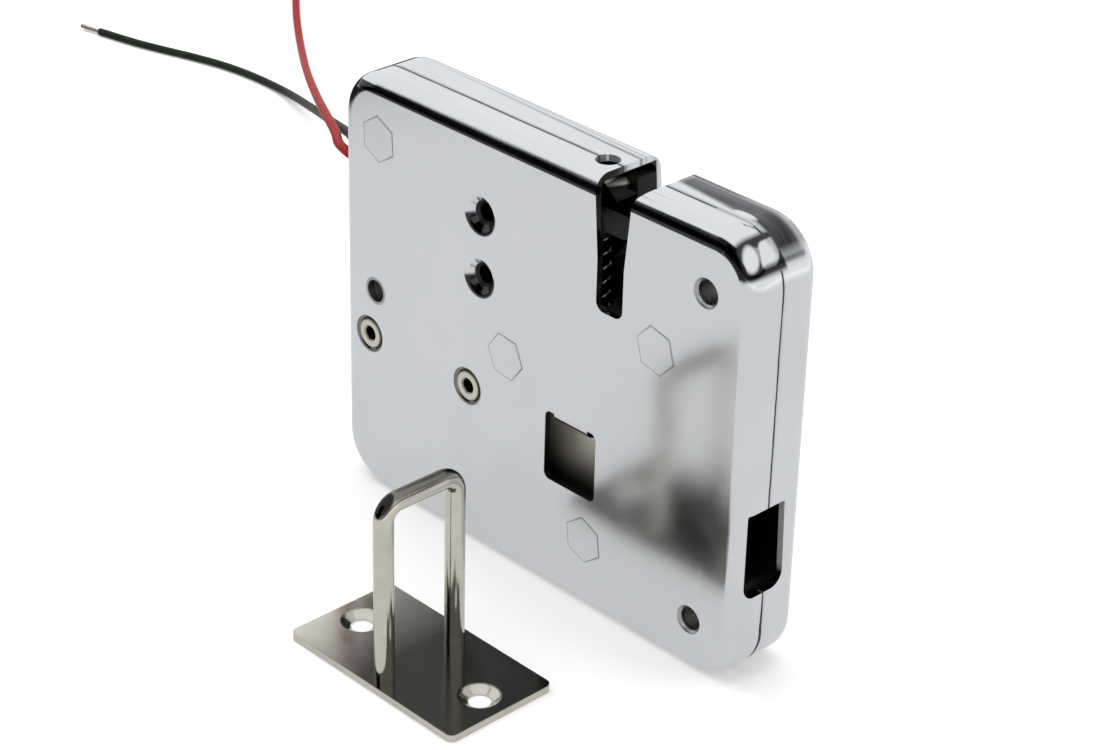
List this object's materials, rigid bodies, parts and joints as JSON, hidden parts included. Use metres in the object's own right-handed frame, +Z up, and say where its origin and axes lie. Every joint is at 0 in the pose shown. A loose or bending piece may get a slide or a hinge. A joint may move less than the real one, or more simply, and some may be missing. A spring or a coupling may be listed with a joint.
{
  "type": "electric cabinet lock",
  "caption": "Flat solenoid cabinet lock in two chromed trays with a top mouth, hook, pawl and ejector, two leads, and a separate U-loop striker on a plate.",
  "frame": {"origin": "middle of the bottom edge of the lock's case, on the surface that it stands on", "axes": "+X along the lock to the right seen from the front, +Z up to the mouth's edge, -Y out of the front face"},
  "size_m": [0.2499, 0.1595, 0.066],
  "materials": {
    "chrome_tray": "bright chrome plate on drawn steel",
    "chrome_post": "bright chrome plate",
    "zinc_steel": "zinc plated",
    "rivet_nickel": "dull nickel plate",
    "nickel_steel": "satin nickel plate",
    "spring_steel": "drawn spring wire",
    "brass_tube": "turned",
    "copper_winding": "enamelled copper wire",
    "black_plastic": "moulded",
    "red_insulation": "satin PVC",
    "black_insulation": "satin PVC",
    "tinned_copper": "tinned strands",
    "striker_nickel": "satin nickel plate"
  },
  "bodies": {
    "root": {"front_shell": "chrome_tray", "rear_shell": "chrome_tray", "mounting_sleeves": "zinc_steel", "hex_posts": "chrome_post", "case_screws": "zinc_steel", "rivets": "rivet_nickel", "magnet_frame": "zinc_steel", "bobbin": "black_plastic", "coil_winding": "copper_winding", "fixed_core": "zinc_steel", "pawl_spacer": "brass_tube", "pawl_spring": "spring_steel", "hook_pin": "zinc_steel", "hook_clip": "spring_steel", "hook_spring": "spring_steel", "mouth_guide": "black_plastic", "ejector_spring": "spring_steel", "wire_bush": "black_plastic", "red_wire": "red_insulation", "black_wire": "black_insulation", "red_wire_end": "tinned_copper", "black_wire_end": "tinned_copper", "red_inner_lead": "red_insulation", "black_inner_lead": "black_insulation"},
    "hook": {"hook": "nickel_steel"},
    "pawl": {"pawl": "nickel_steel", "drive_pin": "zinc_steel"},
    "plunger": {"plunger": "nickel_steel"},
    "ejector": {"ejector": "black_plastic"},
    "striker": {"striker_plate": "striker_nickel", "striker_loop": "striker_nickel"}
  },
  "joints": [
    {"name": "hook_turn", "type": "hinge", "parent": "root", "child": "hook", "pos_m": [0.0048, -0.0006, 0.0505], "axis": [0, 1, 0], "range_deg": [0, 50], "stiffness_Nm_per_rad": 0.002, "springref_deg": -11.46, "deforming": ["hook_spring"]},
    {"name": "ejector_slide", "type": "slide", "parent": "root", "child": "ejector", "axis": [0, 0, -1], "range_m": [0, 0.011], "stiffness_N_per_m": 60, "springref_m": -0.004, "deforming": ["ejector_spring"]},
    {"name": "plunger_slide", "type": "slide", "parent": "root", "child": "plunger", "axis": [-1, 0, 0], "range_m": [0, 0.0025]},
    {"name": "pawl_turn", "type": "hinge", "parent": "root", "child": "pawl", "pos_m": [-0.00525, -0.001, 0.0329], "axis": [0, 1, 0], "range_deg": [0, 18.7], "stiffness_Nm_per_rad": 0.002, "springref_deg": -11.46, "deforming": ["pawl_spring"]},
    {"name": "striker_place", "type": "slide", "parent": "root", "child": "striker", "axis": [0, -1, 0], "range_m": [0, 0.04]}
  ],
  "couplings": [
    {"joint": "pawl_turn", "follows": "plunger_slide", "rad_per_m": 130.5}
  ]
}
